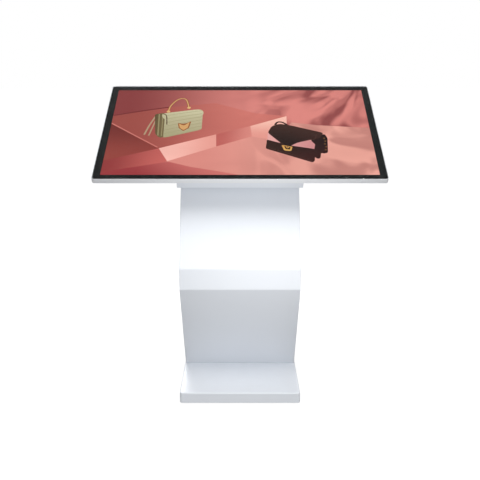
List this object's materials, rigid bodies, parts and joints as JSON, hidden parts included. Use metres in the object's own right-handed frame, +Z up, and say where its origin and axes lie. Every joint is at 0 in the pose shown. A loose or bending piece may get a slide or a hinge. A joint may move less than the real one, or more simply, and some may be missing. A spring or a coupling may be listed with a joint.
{
  "type": "touchscreen kiosk",
  "caption": "Free-standing kiosk: wide touchscreen sloping to the user on a folded steel leg with a forward knee, rear service door, flat base with levelling feet.",
  "frame": {"origin": "on the floor, at the middle of the object's footprint, which is the centre of the base", "axes": "+X to the user's right, +Y away from the user, +Z up"},
  "size_m": [0.9948, 0.544, 1.0899],
  "materials": {
    "white_coat": "satin powder coat",
    "rim_coat": "satin",
    "dark_steel": "matt",
    "zinc_steel": "zinc plated",
    "fastener": "zinc plated",
    "chrome_lock": "polished",
    "foot_rubber": "matt",
    "grommet_rubber": "matt",
    "black_plastic": "fine texture",
    "rocker_plastic": "gloss",
    "inlet_brass": "bright",
    "front_glass": "polished, clear with a black printed border",
    "black_tape": "matt",
    "touch_film": "clear film",
    "lit_picture": "lit display",
    "guide_acrylic": "clear acrylic",
    "lamp_strip": "lamp strip",
    "board_green": "circuit board",
    "heatsink_metal": "anodised",
    "supply_case": "plain",
    "lens_clear": "clear",
    "button_white": "satin"
  },
  "bodies": {
    "stand": {"base_cover": "white_coat", "leg_front_skin": "white_coat", "leg_side_left": "white_coat", "leg_side_right": "white_coat", "leg_rear_lower": "white_coat", "leg_rear_upper": "white_coat", "neck_box": "white_coat", "rear_cover": "white_coat", "monitor_frame": "rim_coat", "base_plate": "dark_steel", "base_ribs": "dark_steel", "neck_doubler": "dark_steel", "leg_ribs": "zinc_steel", "leg_foot_flange": "zinc_steel", "leg_head_flange": "zinc_steel", "door_frame": "zinc_steel", "screen_plate": "zinc_steel", "panel_rails": "zinc_steel", "backlight_tray": "zinc_steel", "foot_nuts": "fastener", "foot_bolts": "fastener", "head_bolts": "fastener", "neck_screws": "fastener", "screen_bolts": "fastener", "cover_screws": "fastener", "hinge_pins": "fastener", "hinge_fixed_leaves": "fastener", "fan_guard": "fastener", "button_bezel": "chrome_lock", "cable_grommet": "grommet_rubber", "mains_lead": "grommet_rubber", "power_inlet": "black_plastic", "switch_housing": "black_plastic", "speakers": "black_plastic", "fan_frame": "black_plastic", "button_switch": "black_plastic", "inlet_pins": "inlet_brass", "touch_glass": "front_glass", "glass_tape": "black_tape", "touch_sensor": "touch_film", "display_panel": "lit_picture", "light_guide": "guide_acrylic", "led_bars": "lamp_strip", "main_board": "board_green", "board_heatsink": "heatsink_metal", "power_supply": "supply_case", "indicator_lens": "lens_clear"},
    "door": {"door_panel": "white_coat", "hinge_door_leaves": "fastener", "lock_barrel": "chrome_lock", "lock_nut": "chrome_lock"},
    "lock": {"lock_plug": "chrome_lock", "lock_cam": "chrome_lock"},
    "rocker": {"switch_rocker": "rocker_plastic"},
    "button": {"power_button": "button_white"},
    "fan": {"fan_rotor": "black_plastic"},
    "foot_front_left": {"levelling_foot_front_left": "foot_rubber"},
    "foot_front_right": {"levelling_foot_front_right": "foot_rubber"},
    "foot_rear_left": {"levelling_foot_rear_left": "foot_rubber"},
    "foot_rear_right": {"levelling_foot_rear_right": "foot_rubber"}
  },
  "joints": [
    {"name": "door_swing", "type": "hinge", "parent": "stand", "child": "door", "pos_m": [-0.151, -0.03381, 0.26243], "axis": [0, -0.5373, 0.8434], "range_deg": [0, 110]},
    {"name": "lock_turn", "type": "hinge", "parent": "door", "child": "lock", "pos_m": [0.125, -0.03719, 0.26028], "axis": [0, -0.8434, -0.5373], "range_deg": [0, 90]},
    {"name": "rocker_tilt", "type": "hinge", "parent": "stand", "child": "rocker", "pos_m": [0.01, 0.266, 0.023], "axis": [0, 0, 1], "range_deg": [0, 14]},
    {"name": "button_press", "type": "slide", "parent": "stand", "child": "button", "axis": [0, 0.866, 0.5], "range_m": [0, 0.0012], "stiffness_N_per_m": 400},
    {"name": "fan_spin", "type": "hinge", "parent": "stand", "child": "fan", "pos_m": [0.33, 0.14406, 0.96511], "axis": [0, -0.5, 0.866], "continuous": true},
    {"name": "foot_front_left_screw", "type": "slide", "parent": "stand", "child": "foot_front_left", "axis": [0, 0, -1], "range_m": [0, 0.01]},
    {"name": "foot_front_right_screw", "type": "slide", "parent": "stand", "child": "foot_front_right", "axis": [0, 0, -1], "range_m": [0, 0.01]},
    {"name": "foot_rear_left_screw", "type": "slide", "parent": "stand", "child": "foot_rear_left", "axis": [0, 0, -1], "range_m": [0, 0.01]},
    {"name": "foot_rear_right_screw", "type": "slide", "parent": "stand", "child": "foot_rear_right", "axis": [0, 0, -1], "range_m": [0, 0.01]}
  ]
}
